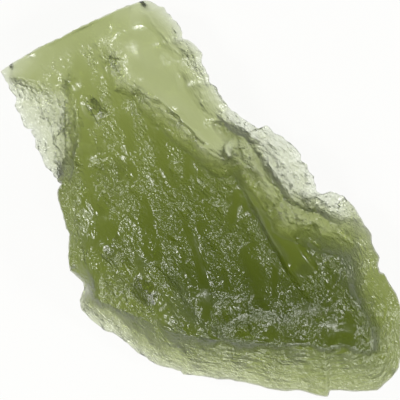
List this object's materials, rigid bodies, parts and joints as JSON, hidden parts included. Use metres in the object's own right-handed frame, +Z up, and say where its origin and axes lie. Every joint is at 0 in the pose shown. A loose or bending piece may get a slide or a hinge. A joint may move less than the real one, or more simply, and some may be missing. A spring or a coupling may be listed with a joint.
{
  "type": "moldavite",
  "caption": "Raw piece of bottle-green natural glass, a thick pitted tongue with one clean broken end, thin serrated flanges and a bevelled far edge.",
  "frame": {"origin": "on the surface that the stone lies on, under the middle of its outline", "axes": "+X runs along the stone's length, from the broken end to the bevelled end; +Z is up, through its thickness"},
  "size_m": [0.0392, 0.022, 0.0088],
  "materials": {
    "moldavite_glass": "see-through olive to bottle-green natural glass; glossy in its furrows and on the broken end, finely pitted and sparkling elsewhere, almost clear in the thin flanges"
  },
  "bodies": {
    "root": {"moldavite": "moldavite_glass"}
  },
  "joints": []
}
